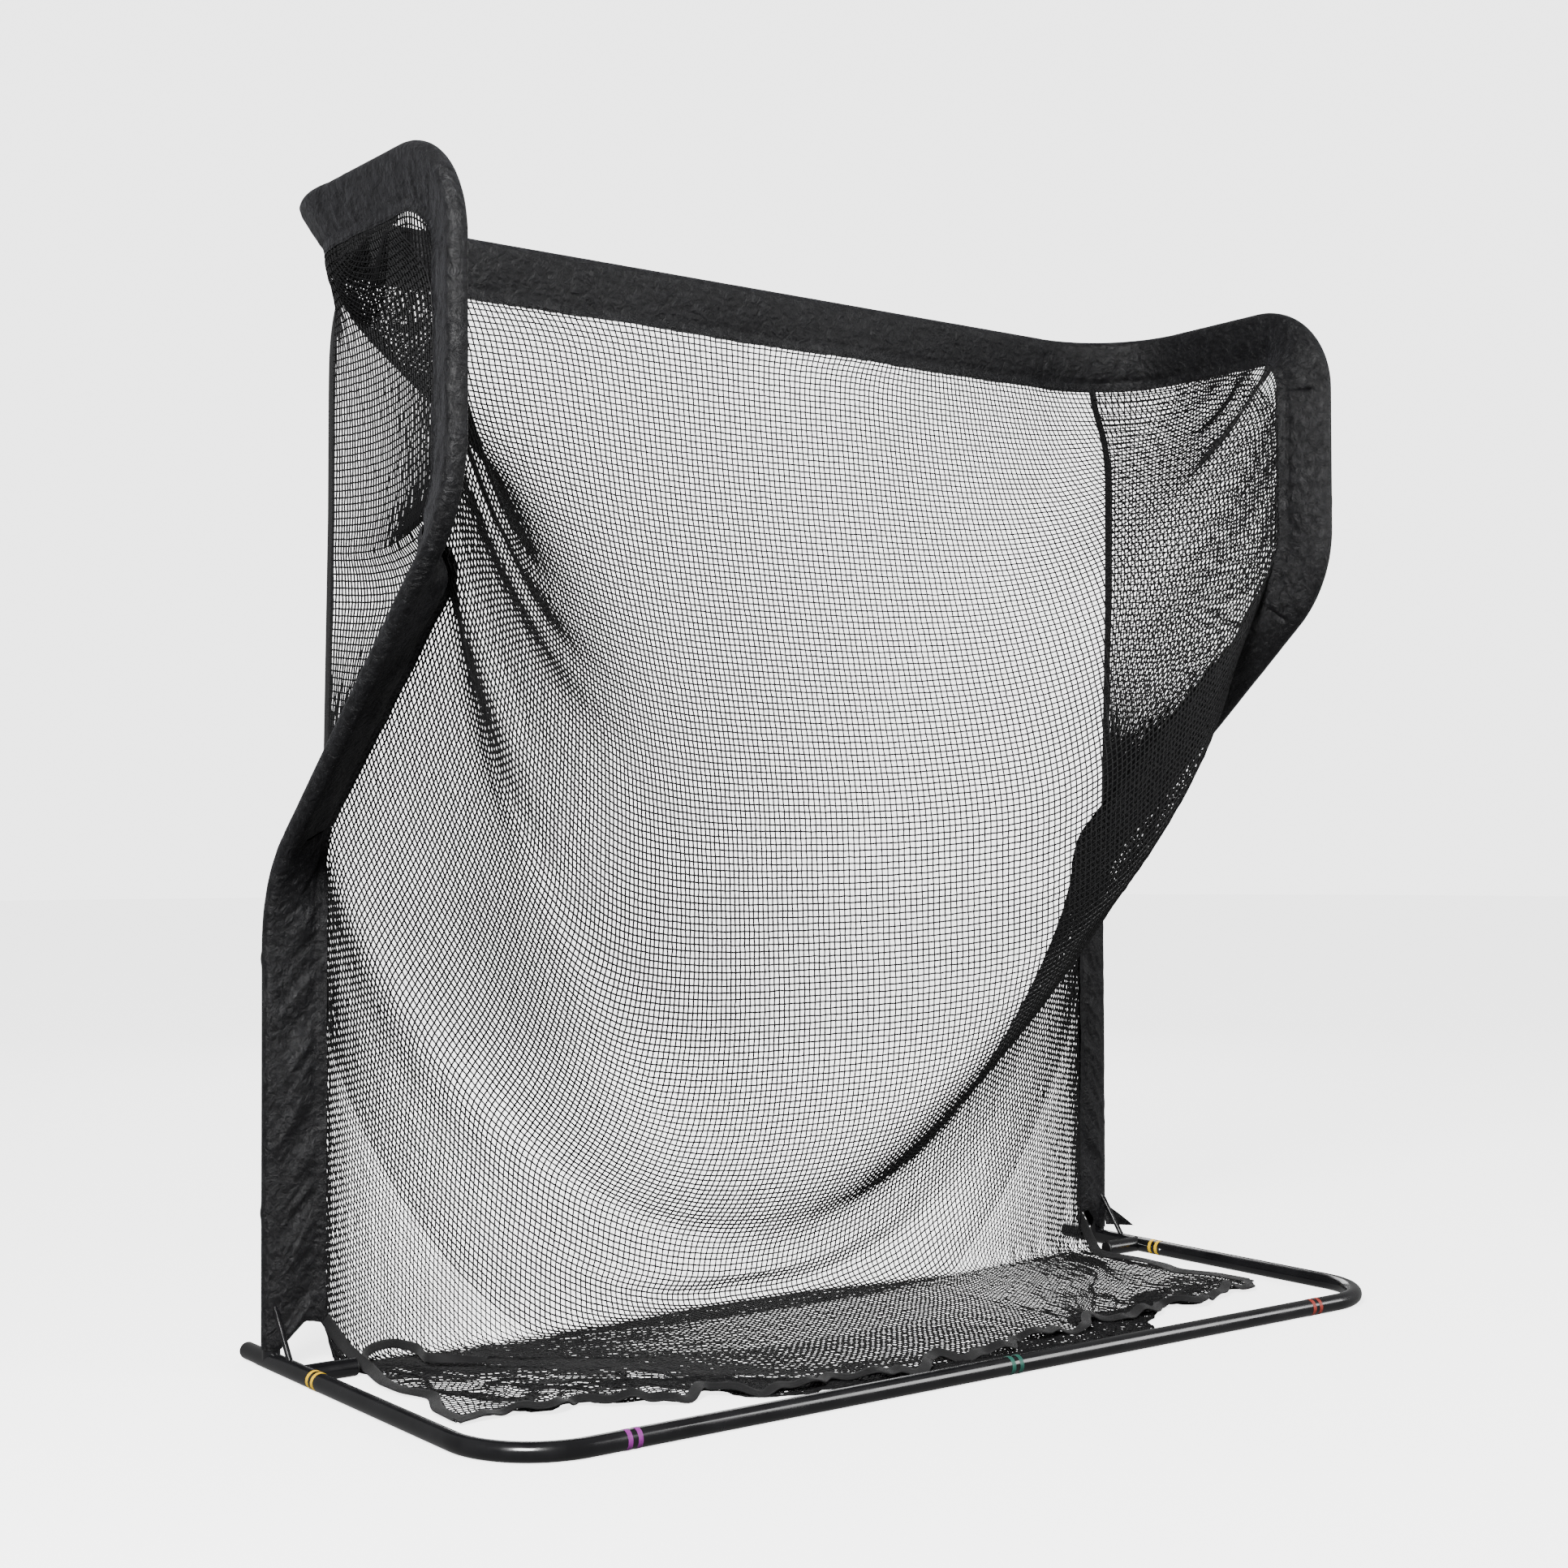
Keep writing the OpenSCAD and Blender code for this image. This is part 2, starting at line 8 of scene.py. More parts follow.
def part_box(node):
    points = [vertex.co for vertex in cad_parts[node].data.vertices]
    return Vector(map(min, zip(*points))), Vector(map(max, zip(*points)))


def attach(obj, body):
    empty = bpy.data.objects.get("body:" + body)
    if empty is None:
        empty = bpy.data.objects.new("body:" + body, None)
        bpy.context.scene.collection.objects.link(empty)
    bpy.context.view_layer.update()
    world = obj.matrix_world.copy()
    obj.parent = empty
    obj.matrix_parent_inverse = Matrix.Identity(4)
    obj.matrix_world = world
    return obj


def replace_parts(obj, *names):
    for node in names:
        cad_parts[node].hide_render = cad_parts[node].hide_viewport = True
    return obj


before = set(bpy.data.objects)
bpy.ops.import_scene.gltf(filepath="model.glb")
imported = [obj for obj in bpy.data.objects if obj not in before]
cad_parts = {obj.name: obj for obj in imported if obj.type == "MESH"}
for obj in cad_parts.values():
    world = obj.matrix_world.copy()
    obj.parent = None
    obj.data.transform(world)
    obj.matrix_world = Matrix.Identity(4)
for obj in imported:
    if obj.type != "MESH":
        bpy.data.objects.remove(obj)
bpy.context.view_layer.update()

# ---------------------------------------------------------------------------------------------
# Frame tubes: 38 mm steel tube, bent and necked at the joints, gloss black powder coat.
# Sixteen lengths push into each other; the base lies on the ground and the sides lean forward.
# ---------------------------------------------------------------------------------------------


def srgb(hexa):
    """A hex colour as the linear RGBA that Blender's sockets take."""
    c = [int(hexa[i:i + 2], 16) / 255 for i in (1, 3, 5)]
    return [x / 12.92 if x <= 0.04045 else ((x + 0.055) / 1.055) ** 2.4 for x in c] + [1.0]


def node(mat, kind, settings, to=None):
    """Adds a shader node. A setting is a value, a socket to read from, or a ramp's stops; to is fed by it."""
    made = mat.node_tree.nodes.new("ShaderNode" + kind)
    for key, value in settings.items():
        if key == "stops":
            for stop, (position, colour) in zip(made.color_ramp.elements, value):
                stop.position, stop.color = position, srgb(colour)
        elif isinstance(value, bpy.types.NodeSocket):
            mat.node_tree.links.new(value, made.inputs[key])
        elif isinstance(key, str) and key not in made.inputs:
            setattr(made, key, value)
        else:
            made.inputs[key].default_value = value
    if to is not None:
        mat.node_tree.links.new(made.outputs[0], to)
    return made.outputs


def material(name, colour, **inputs):
    """A surface with one Principled shader; returns the material and the shader node."""
    mat = bpy.data.materials.new(name)
    mat.use_nodes = True
    shader = mat.node_tree.nodes["Principled BSDF"]
    shader.inputs["Base Color"].default_value = srgb(colour)
    for key, value in inputs.items():
        shader.inputs[key.replace("_", " ")].default_value = value
    return mat, shader


def dress(names, mat):
    """Gives parts of the frame their material."""
    for name in names:
        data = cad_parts[name].data
        data.materials.clear()
        data.materials.append(mat)


# Gloss black powder coat, sprayed and baked: a smooth film with ripples about 2.4 mm apart, and
# patches some 11 cm wide where handling has left it duller.
coat, shader = material("gloss_black_powder_coat", "#0a0a0b", Roughness=0.2, IOR=1.5,
                        Coat_Weight=0.35, Coat_Roughness=0.08)
at = node(coat, "TexCoord", {})["Object"]
peel = node(coat, "TexNoise", {"Scale": 420.0, "Detail": 2.0, "Vector": at})["Fac"]
node(coat, "Bump", {"Distance": 0.00005, "Height": peel}, to=shader.inputs["Normal"])
dust = node(coat, "TexNoise", {"Scale": 9.0, "Detail": 6.0, "Roughness": 0.65, "Vector": at})["Fac"]
node(coat, "MapRange", {"From Min": 0.3, "From Max": 0.75, "To Min": 0.14, "To Max": 0.34, "Value": dust},
     to=shader.inputs["Roughness"])
node(coat, "ValToRGB", {"Fac": dust, "stops": [(0.35, "#08080a"), (0.65, "#121214")]},
     to=shader.inputs["Base Color"])

TUBES = [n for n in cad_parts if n.startswith(("base_", "front_rail", "upright", "offset_tube",
                                                    "top_corner", "rear_corner", "crossbar"))]
dress(TUBES, coat)

# ---------------------------------------------------------------------------------------------
# Joint hardware: bright zinc snap buttons, the folded spring strips behind them, black push-in
# caps on the four open ends, and the coloured vinyl rings that say which tube goes where.
# ---------------------------------------------------------------------------------------------
# Bright zinc plate on the pressed buttons: silvery, with a faint grain 1 mm wide and 4 mm long.
zinc, shader = material("bright_zinc_plate", "#c4c7cb", Metallic=1.0, Roughness=0.28)
at = node(zinc, "TexCoord", {})["Object"]
drawn = node(zinc, "Mapping", {"Scale": (900, 900, 250), "Vector": at})["Vector"]
grain = node(zinc, "TexNoise", {"Scale": 1.0, "Detail": 3.0, "Vector": drawn})["Fac"]
node(zinc, "Bump", {"Distance": 0.00003, "Height": grain}, to=shader.inputs["Normal"])
node(zinc, "ValToRGB", {"Fac": grain, "stops": [(0.35, "#b4b7bb"), (0.65, "#d2d5d8")]},
     to=shader.inputs["Base Color"])
dress([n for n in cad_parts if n.startswith("button_")], zinc)

# Oiled spring steel: rolled strip, with rolling lines about 1 mm apart.
spring, shader = material("oiled_spring_steel", "#85888c", Metallic=1.0, Roughness=0.4)
at = node(spring, "TexCoord", {})["Object"]
rolled = node(spring, "Mapping", {"Scale": (120, 120, 900), "Vector": at})["Vector"]
grain = node(spring, "TexNoise", {"Scale": 1.0, "Vector": rolled})["Fac"]
node(spring, "Bump", {"Distance": 0.00004, "Height": grain}, to=shader.inputs["Normal"])
dress(["spring_clips"], spring)

# Black polyethylene, moulded: the mould's spark-eroded grain, about 1 mm, leaves it dull.
plastic, shader = material("moulded_black_polyethylene", "#0d0d0e", Roughness=0.5, IOR=1.5)
at = node(plastic, "TexCoord", {})["Object"]
grain = node(plastic, "TexNoise", {"Scale": 1100.0, "Detail": 3.0, "Vector": at})["Fac"]
node(plastic, "Bump", {"Distance": 0.00008, "Height": grain}, to=shader.inputs["Normal"])
dress(["end_caps"], plastic)

# Coloured vinyl tape: calendered smooth, scuffed in patches about 6 mm wide.
for ring, colour, scuffed in [("yellow", "#f2c206", "#d9a900"), ("purple", "#822f82", "#6e2770"),
                              ("green", "#25584c", "#1e4a40"), ("red", "#93382f", "#7c2e26")]:
    vinyl, shader = material(ring + "_vinyl_tape", colour, Roughness=0.45, IOR=1.5,
                             Specular_IOR_Level=0.3)
    at = node(vinyl, "TexCoord", {})["Object"]
    wear = node(vinyl, "TexNoise", {"Scale": 160.0, "Detail": 5.0, "Vector": at})["Fac"]
    node(vinyl, "ValToRGB", {"Fac": wear, "stops": [(0.3, scuffed), (0.55, colour)]},
         to=shader.inputs["Base Color"])
    node(vinyl, "Bump", {"Distance": 0.00006, "Height": wear}, to=shader.inputs["Normal"])
    dress(["rings_" + ring], vinyl)

# ---------------------------------------------------------------------------------------------
# Fabric sleeves: crinkled black nylon, folded round the tube and sewn shut along a hem that also
# holds the net. The hem hangs down at the top and points inward on the sides. Each sleeve is one
# panel, pinched where it is sewn to the next.
# ---------------------------------------------------------------------------------------------
HALF = 1.2  # from the middle to a side tube's axis
TOP, BACK, FRONT, UPRIGHT = 2.405, 0.37, -0.365, 0.433  # axes of the top, crossbar, front tube and upright
REAR_R, CORNER_R, BEND_R = 0.25, 0.2, 0.3  # bend radii of the rear corner, front corner and leaning tube
LOW_BEND, HIGH_BEND = 1.015, 1.729  # heights where the leaning tube's line meets upright and front tube
FOOT_Z = 0.044  # lower end of the upright
SLOPE = math.atan2(HIGH_BEND - LOW_BEND, UPRIGHT - FRONT)
TURN = math.pi / 2 - SLOPE
LOW_Z = LOW_BEND - BEND_R * math.tan(TURN / 2)
HIGH_Z = HIGH_BEND + BEND_R * math.tan(TURN / 2)
WRAP_R = 0.0216  # radius of the cloth round the tube, which is 19 mm in radius
SEAM = 0.084  # from the tube's axis to where the two layers are sewn flat
HEM = 0.106  # and to the stitch line that holds the net
HEM_EDGE = 0.112


def lengths(points):
    """Distance along a line of points, at each of them."""
    return np.r_[0, np.cumsum(np.linalg.norm(np.diff(points, axis=0), axis=1))]


def points_at(s, lengths_along, points):
    """Places at distances s along a line of points."""
    return np.stack([np.interp(s, lengths_along, points[:, k]) for k in range(3)], -1)


def side_tube():
    """The left tube's centre line, from the middle of the crossbar to the foot of the upright."""
    step = 0.005

    def line(a, b):
        n = int(np.linalg.norm(np.subtract(b, a)) / step)
        return [np.add(a, np.subtract(b, a) * k / n) for k in range(n)]

    def arc(centre, r, a0, a1, across, up):
        n = int(r * abs(a1 - a0) / step)
        return [np.add(centre, r * (math.cos(a) * np.array(across) + math.sin(a) * np.array(up)))
                for a in np.linspace(a0, a1, n, endpoint=False)]

    y, z, x = np.array([0, 1, 0]), np.array([0, 0, 1]), -HALF
    high_c, low_c = FRONT + BEND_R, UPRIGHT - BEND_R
    lean_top = (x, high_c - BEND_R * math.cos(TURN), HIGH_Z - BEND_R * math.sin(TURN))
    lean_foot = (x, low_c + BEND_R * math.cos(TURN), LOW_Z + BEND_R * math.sin(TURN))
    parts = [
        line((0, BACK, TOP), (-HALF + REAR_R, BACK, TOP)),
        arc((-HALF + REAR_R, BACK - REAR_R, TOP), REAR_R, 0, math.pi / 2, y, (-1, 0, 0)),
        line((x, BACK - REAR_R, TOP), (x, FRONT + CORNER_R, TOP)),
        arc((x, FRONT + CORNER_R, TOP - CORNER_R), CORNER_R, 0, math.pi / 2, z, -y),
        line((x, FRONT, TOP - CORNER_R), (x, FRONT, HIGH_Z)),
        arc((x, high_c, HIGH_Z), BEND_R, 0, TURN, -y, -z),
        line(lean_top, lean_foot),
        arc((x, low_c, LOW_Z), BEND_R, TURN, 0, y, z),
        line((x, UPRIGHT, LOW_Z), (x, UPRIGHT, FOOT_Z)) + [np.array((x, UPRIGHT, FOOT_Z))],
    ]
    return np.array([p for part in parts for p in part]), np.cumsum([0] + [len(p) for p in parts])


def knots(at, values, x):
    """Smooth steps between values given at points along a line."""
    at, values = np.array(at), np.array(values, float)
    k = np.clip(np.searchsorted(at, x) - 1, 0, len(at) - 2)
    t = np.clip((x - at[k]) / (at[k + 1] - at[k]), 0, 1)
    t = t * t * (3 - 2 * t)
    t = t.reshape(t.shape + (1,) * (values.ndim - 1))
    return values[k] + (values[k + 1] - values[k]) * t


def lattice_noise(x, y, seed):
    """Smooth noise from -1 to 1 on a unit lattice."""
    side_cells = 64
    grid = np.random.default_rng(seed).uniform(-1, 1, (side_cells, side_cells))
    i, j = np.floor(x).astype(int), np.floor(y).astype(int)
    u, v = x - i, y - j
    u, v = u * u * (3 - 2 * u), v * v * (3 - 2 * v)

    def corner(a, b):
        return grid[a % side_cells, b % side_cells]

    near = corner(i, j) * (1 - u) + corner(i + 1, j) * u
    far = corner(i, j + 1) * (1 - u) + corner(i + 1, j + 1) * u
    return near * (1 - v) + far * v


TUBE, MARKS = side_tube()
RUN = lengths(TUBE)
# AT: distances along the tube from the crossbar's middle to the ends of its straights and bends.
AT = [RUN[min(m, len(RUN) - 1)] for m in MARKS]
ALONG = np.gradient(TUBE, axis=0)
ALONG /= np.linalg.norm(ALONG, axis=1)[:, None]


def inward(angle, up):
    """The way from the left tube to the middle, turned by an angle in degrees towards up."""
    return math.cos(math.radians(angle)) * np.array([1, 0, 0]) + math.sin(math.radians(angle)) * up


# Which way the hem points from the tube: down along the top, back on the front tubes and inward
# below them. The left front hem points almost straight back, the right one more inward.
back, lean_side = np.array([0, 1, 0]), np.array([0, math.sin(SLOPE), math.cos(SLOPE)])
HANG = {}
for side, turn in ((-1, 83), (1, 55)):
    h = knots([0, AT[3], AT[4], AT[6], AT[6] + 0.1, AT[7], AT[8], RUN[-1]],
              [(0, 0, -1), (0, 0, -1), inward(turn, back), inward(turn, back), inward(20, lean_side),
               inward(20, lean_side), inward(-20, back), inward(-20, back)], RUN)
    h -= ALONG * np.sum(h * ALONG, axis=1)[:, None]
    HANG[side] = h / np.linalg.norm(h, axis=1)[:, None]
OUTWARD = {side: np.cross(ALONG, h) for side, h in HANG.items()}


def on_path(s, values):
    """Values given along the left tube, at distance s either side of the crossbar's middle."""
    return points_at(np.abs(s), RUN, values)


def mirrored(p, s, side):
    """Left-side points carried over to the right side, or past the middle of the crossbar."""
    p[..., 0] *= np.where(s < 0, -1, 1) * (1 if side < 0 else -1)
    return p


def side_path(s, a, side):
    """Points at distance a from the tube's axis; the hanging part sways a little sideways."""
    s, a = np.broadcast_arrays(s, a)
    run = np.abs(s)
    sway = 0.006 * lattice_noise(run / 0.33, 0 * run, 3) + 0.0025 * lattice_noise(run / 0.11, 0 * run, 8)
    sway = sway * np.clip(a / HEM, 0, 1.1) ** 1.5
    p = on_path(s, TUBE) + on_path(s, HANG[side]) * a[..., None]
    p += on_path(s, OUTWARD[side]) * sway[..., None]
    return mirrored(p, s, side)


def mesh(name, points, faces, mat, uv=None):
    """A mesh object that is part of the frame body."""
    data = bpy.data.meshes.new(name)
    data.from_pydata([], [], [])
    data.vertices.add(len(points))
    data.vertices.foreach_set("co", np.asarray(points, np.float32).ravel())
    faces = np.asarray(faces, np.int32)
    data.loops.add(faces.size)
    data.loops.foreach_set("vertex_index", faces.ravel())
    data.polygons.add(len(faces))
    data.polygons.foreach_set("loop_start", np.arange(len(faces), dtype=np.int32) * faces.shape[1])
    data.polygons.foreach_set("use_smooth", np.ones(len(faces), bool))
    data.update(calc_edges=True)
    if uv is not None:
        layer = data.uv_layers.new(name="cloth")
        layer.data.foreach_set("uv", np.asarray(uv, np.float32)[faces.ravel()].ravel())
    data.materials.append(mat)
    obj = bpy.data.objects.new(name, data)
    bpy.context.scene.collection.objects.link(obj)
    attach(obj, "frame")
    return obj


def grid_faces(rows, cols, wrap=False):
    """Four-sided faces between rows of points, closed round each row if wrap is set."""
    r, c = np.meshgrid(np.arange(rows - 1), np.arange(cols if wrap else cols - 1), indexing="ij")
    a, b = r * cols + c, r * cols + (c + 1) % cols
    return np.stack([a, b, b + cols, a + cols], -1).reshape(-1, 4)


# Crinkled nylon taffeta, woven and dyed black: a soft sheen, sharp creases about 3 cm by 1.6 cm from
# packing, softer puckers about 2.4 cm wide, and a weave with threads about 0.35 mm apart.
# Two rows of black thread run along each hem, in stitches about 4 mm long.
STITCH_ROWS, STITCH_HALF_WIDTH = (0.0045, 0.0235), 0.0007  # from the hem's edge, across the cloth
TO_FOLD = 0.146  # across the cloth from either edge to the fold
nylon, shader = material("crinkled_black_nylon", "#0c0c0d", Roughness=0.46, IOR=1.5,
                         Sheen_Weight=0.06, Sheen_Roughness=0.4, Specular_IOR_Level=0.25)
shader.inputs["Sheen Tint"].default_value = srgb("#b9bac2")
cloth = node(nylon, "TexCoord", {})["UV"]
waver = node(nylon, "TexNoise", {"Scale": 22.0, "Detail": 3.0, "Vector": cloth})["Color"]
bent = node(nylon, "MixRGB", {"blend_type": "ADD", "Fac": 0.035, "Color1": cloth, "Color2": waver})["Color"]
spread = node(nylon, "Mapping", {"Scale": (34, 62, 1), "Vector": bent})["Vector"]
creases = node(nylon, "TexVoronoi", {"feature": "DISTANCE_TO_EDGE", "Scale": 1.0, "Vector": spread})
soft = node(nylon, "TexNoise", {"Scale": 42.0, "Detail": 6.0, "Roughness": 0.62, "Distortion": 1.3,
                                "Vector": cloth})["Fac"]
weave = node(nylon, "TexWave", {"Scale": 900.0, "Distortion": 0.4, "Vector": cloth})["Fac"]
axes = node(nylon, "SeparateXYZ", {"Vector": cloth})
to_hem = node(nylon, "Math", {"operation": "PINGPONG", 0: axes["Y"], 1: TO_FOLD})["Value"]
stitches = node(nylon, "Math", {"operation": "MULTIPLY", 0: axes["X"], 1: 240.0})["Value"]
dash = node(nylon, "Math", {"operation": "FRACT", 0: stitches})["Value"]
gap = node(nylon, "Math", {"operation": "GREATER_THAN", 0: dash, 1: 0.22})["Value"]
near_row, far_row = [node(nylon, "Math", {"operation": "COMPARE", 0: to_hem, 1: row,
                                          2: STITCH_HALF_WIDTH})["Value"] for row in STITCH_ROWS]
both_rows = node(nylon, "Math", {"operation": "ADD", 0: near_row, 1: far_row})["Value"]
thread = node(nylon, "Math", {"operation": "MULTIPLY", 0: both_rows, 1: gap})["Value"]
shape = node(nylon, "Bump", {"Distance": 0.003, "Height": creases["Distance"]})["Normal"]
shape = node(nylon, "Bump", {"Distance": 0.007, "Height": soft, "Normal": shape})["Normal"]
shape = node(nylon, "Bump", {"Distance": 0.0007, "Height": thread, "Normal": shape})["Normal"]
node(nylon, "Bump", {"Distance": 0.00006, "Strength": 0.6, "Height": weave, "Normal": shape},
     to=shader.inputs["Normal"])
node(nylon, "ValToRGB", {"Fac": soft, "stops": [(0.35, "#070708"), (0.65, "#101012")]},
     to=shader.inputs["Base Color"])


def fold_lines(s, a, seed, skew):
    """Sharp creases that run out from the tube to the hem, bulging outward."""
    total = 0
    for k, (ls, la, amp) in enumerate([(0.085, 0.16, 1.0), (0.042, 0.1, 0.55), (0.02, 0.05, 0.28)]):
        n = lattice_noise((s + skew * a) / ls + 3.1 * k, a / la + 7 * k, seed + k)
        total = total + amp * (1 - np.abs(n) * 1.9)
    return np.clip(total, -0.4, 2)


# The cloth is lifted a little by each snap button under it.
KNOBS = np.array([np.mean(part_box(n), axis=0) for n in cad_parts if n.startswith("button_")])
EAR = 0.5 * (AT[1] + AT[2])  # middle of the rear corner, where the mitred cloth stands off in a point


def sleeve(name, s0, s1, side, crinkle=1.0, skew=0.6, foot=None):
    """One panel of the sleeve between two places on the tube, as a closed fold of cloth."""
    crease_depth, thinnest, sewn_end = 0.0034, 0.0006, 0.005
    ear_out, ear_reach, knob_lift, knob_reach = 0.052, 0.175, 0.0034, 0.012
    # The fold in section: a runs from the tube's axis to the hem, b across it.
    layer = np.r_[np.linspace(HEM_EDGE, 0.086, 6), np.linspace(0.078, 0.008, 14)]
    swell = 0.0011 + 0.0203 * np.clip(1 - layer / 0.09, 0, 1) ** 0.9 * (layer < SEAM)
    back_arc = np.linspace(math.pi / 2, 1.5 * math.pi, 15)[1:-1]
    a = np.r_[layer, WRAP_R * np.cos(back_arc), layer[::-1]]
    b = np.r_[swell, WRAP_R * np.sin(back_arc), -swell[::-1]]
    rows = int((s1 - s0) / 0.005) + 1
    t = np.linspace(0, 1, rows)[:, None]
    end = s1 + 0 * a if foot is None else s1 - (foot(a) - FOOT_Z)
    s = s0 + (end[None] - s0) * t
    seed = 40 + 7 * int(1000 * abs(s0)) % 900 + (0 if side < 0 else 13)
    # Creases are deepest on the loose cloth, and slight over the tube and where it is sewn.
    room = np.clip((a + 0.004) / 0.05, 0.1, 1) * np.where(a > SEAM, 0.22, 1)
    lump = fold_lines(s, np.abs(a)[None] + 0.02, seed, skew) * crease_depth * crinkle
    other = fold_lines(s, np.abs(a)[None] + 0.02, seed + 31, -skew) * crease_depth * crinkle
    push = np.where(b[None] > 0, lump, other) * room
    pucker = 0.0005 * np.sin(s / 0.0034) * (a > SEAM)
    pinch = 1 - 0.55 * np.exp(-((s - s0) / sewn_end) ** 2) - 0.55 * np.exp(-((end - s) / sewn_end) ** 2)
    off = np.sign(b) * np.maximum(np.abs(b) * (0.35 + 0.65 * pinch) + push * pinch, thinnest) + pucker
    off = np.where(np.abs(a) < 0.019, np.sign(b) * np.maximum(np.abs(off), np.abs(b)), off)
    slack = np.maximum(0, 1 - np.hypot(s - EAR, 0.012) / ear_reach) * np.clip(1 - a / HEM, 0, 1)
    off -= ear_out * slack * (b < 0.004)
    wavy = a[None] + np.where(a > 0.1, 0.0012 * lattice_noise(s / 0.02, 0 * s, seed + 3), 0)
    out = mirrored(on_path(s, OUTWARD[side]), s, side)
    p = side_path(s, wavy, side) + out * off[..., None]
    axis = mirrored(on_path(s, TUBE), s, side)
    for knob in KNOBS:
        near = np.exp(-(np.linalg.norm(p - knob, axis=-1) / knob_reach) ** 2)
        p += knob_lift * near[..., None] * (p - axis) / np.linalg.norm(p - axis, axis=-1)[..., None]
    across = np.r_[0, np.cumsum(np.hypot(np.diff(a), np.diff(b)))]
    uv = np.stack([s, np.broadcast_to(across, s.shape)], -1).reshape(-1, 2)
    obj = mesh(name, p.reshape(-1, 3), grid_faces(rows, len(a)), nylon, uv)
    return obj


def foot_cut(a):
    """Height above the ground at which the lower sleeve is cut away, across its width."""
    return np.interp(a, [0.0, 0.02, 0.045, 0.07, 0.112], [0.041, 0.046, 0.074, 0.099, 0.09])


for side, hand in ((-1, "left"), (1, "right")):
    for part, s0, s1, crinkle, skew in [("top", AT[1], AT[4], 0.8, 0.5),
                                        ("front", AT[4], AT[6], 1.2, 0.8),
                                        ("lean", AT[6], AT[7], 1.5, -0.7),
                                        ("lower", AT[7], RUN[-1], 2.5, 1.3)]:
        cut = foot_cut if part == "lower" else None
        panel = sleeve("cloth_%s_%s" % (part, hand), s0, s1, side, crinkle, skew, cut)
        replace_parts(panel, "sleeve_%s_%s" % (part, hand))

# The crossbar's sleeve is one panel right across.
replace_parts(sleeve("cloth_crossbar", -AT[1], AT[1], -1, 0.8, 0.2), "sleeve_crossbar")

# At the right foot a corner of the cloth has pulled out of the fold and sticks forward in a point.
u, v = np.meshgrid(np.linspace(0, 1, 15), np.linspace(0, 1, 9), indexing="ij")
root_top, root_low, tip = np.array([[1.213, 0.430, 0.112], [1.206, 0.405, 0.052], [1.214, 0.309, 0.062]])
root = root_top * (1 - v[..., None]) + root_low * v[..., None]
flap = root * (1 - u[..., None]) + tip * u[..., None]
flap[..., 0] += 0.012 * np.sin(np.pi * u) * np.sin(np.pi * v * 0.9 + 0.3)
flap_uv = np.stack([0.13 * u, 0.06 + 0.06 * v * (1 - u)], -1).reshape(-1, 2)
foot_flap = mesh("foot_flap", flap.reshape(-1, 3), grid_faces(15, 9), nylon, flap_uv)

# ---------------------------------------------------------------------------------------------
# Ball net: black knotless twine on a 15 mm square mesh, one panel 3.06 m wide, sewn to the hems
# along the top and down both sides to the feet. Its last part lies on the ground. Twine doesn't
# stretch but the net shears and folds freely, so it is let hang and its weight gives the shape.
# ---------------------------------------------------------------------------------------------
MESH = 0.015
ACROSS = 204
STRAND = 0.0021  # from the middle of a strand to its corners
FLOOR_STRAND = 0.78  # the strands on the floor are thinner by this
TOP_END = 1.42  # how far along the tube from the crossbar's middle the panel's corner is sewn
TOP_HEM = 2.295  # height that the net hangs down from


def resample(points, n):
    """A line as n points spaced evenly, and its length."""
    s = lengths(points)
    return points_at(np.linspace(0, s[-1], n), s, points), s[-1]


def gathered(points, n, full):
    """A line as n points, closer by a factor where the net is gathered onto it, and its net length."""
    s = lengths(points)
    w = np.r_[0, np.cumsum(np.diff(s) * full(0.5 * (s[1:] + s[:-1])))]
    return points_at(np.interp(np.linspace(0, w[-1], n), w, s), s, points), w[-1]


def relax(points, times):
    """Rounds a line's corners off, its ends held."""
    for _ in range(times):
        points[1:-1] = 0.25 * points[:-2] + 0.5 * points[1:-1] + 0.25 * points[2:]
    return points


# The side tape leaves the sleeve 5 cm above its foot, drops to the floor and runs forward on it.
foot_s = RUN[-1] - 0.05
tape_points = np.array([[-1.083, 0.335, 0.04], [-1.06, 0.285, 0.009], [-1.088, 0.155, 0.007],
                        [-1.085, 0.07, 0.006], [-1.057, 0.0, 0.006], [-1.1, -0.094, 0.006],
                        [-1.105, -0.19, 0.006]])
foot_point = side_path(np.array([foot_s]), np.array([HEM]), -1)
tape_line = relax(resample(np.vstack([foot_point, tape_points]), 160)[0], 30)


def side_gather(s):
    """Fullness of the net along its side edges: gathered round the front corner."""
    return 1 + 0.7 * knots([0, 0.45, 0.8], [1.0, 1.0, 0.0], s)


def top_gather(s):
    """Fullness of the net along its top edge: gathered round both rear corners."""
    return 1 + 0.3 * knots([0, 0.55, 0.95, 1.6, 2.0, 2.6], [1, 1, 0, 0, 1, 1], s)


s_side = np.linspace(TOP_END, foot_s, 700)
edge = {}
for side in (-1, 1):
    sewn = side_path(s_side, np.full_like(s_side, HEM), side)
    edge[side] = np.vstack([sewn, tape_line[1:] * [1 if side < 0 else -1, 1, 1]])
side_length = gathered(edge[-1], 9, side_gather)[1]
DOWN = int(side_length / MESH / 4 + 0.5) * 4  # meshes from top to floor edge, a multiple of four
edge = {side: gathered(line, DOWN + 1, side_gather)[0] for side, line in edge.items()}
s_top = np.linspace(0, TOP_END, 300)
top_left, top_right = [side_path(s_top, np.full_like(s_top, HEM), side) for side in (-1, 1)]
top_edge = gathered(np.vstack([top_left[::-1], top_right[1:]]), ACROSS + 1, top_gather)[0]

